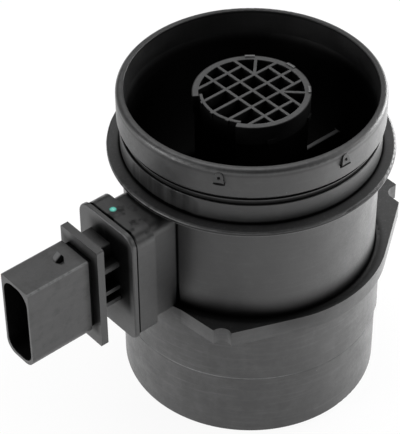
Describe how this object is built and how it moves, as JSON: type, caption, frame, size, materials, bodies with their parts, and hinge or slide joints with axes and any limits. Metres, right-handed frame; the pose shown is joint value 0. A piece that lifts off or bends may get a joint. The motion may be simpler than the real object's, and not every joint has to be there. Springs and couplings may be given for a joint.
{
  "type": "mass airflow sensor",
  "caption": "Hot-film air meter for an engine intake: round duct with a flow grid, collared rim, mounting ears and a plug-in sensor module with a side connector.",
  "frame": {"origin": "centre of the duct at the outlet end", "axes": "+Z along the duct towards the inlet, -X towards the connector"},
  "size_m": [0.1602, 0.0996, 0.1208],
  "materials": {
    "housing": "fine spark-eroded texture, dark grey",
    "grid": "smooth moulded, dark grey",
    "carrier": "satin moulded, dark grey",
    "seal": "matt",
    "lid": "satin",
    "base_metal": "mill finish",
    "board": "ceramic, satin",
    "chip": "moulded resin",
    "capacitor": "ceramic",
    "silicon": "polished silicon",
    "gel": "clear soft gel",
    "bead": "glazed",
    "wire": "tinned",
    "terminal": "tin plated",
    "paint": "dried paint dot"
  },
  "bodies": {
    "root": {"duct_housing": "housing", "flow_grid": "grid", "sensor_carrier": "carrier", "module_seal": "seal", "electronics_lid": "lid", "bypass_lid": "lid", "base_plate": "base_metal", "circuit_board": "board", "signal_chip": "chip", "capacitor_upper": "capacitor", "capacitor_lower": "capacitor", "sensor_chip": "silicon", "gel_fill": "gel", "thermistor_bead": "bead", "thermistor_lead_left": "wire", "thermistor_lead_right": "wire", "terminal_1": "terminal", "terminal_2": "terminal", "terminal_3": "terminal", "terminal_4": "terminal", "terminal_5": "terminal", "paint_mark": "paint"}
  },
  "joints": []
}
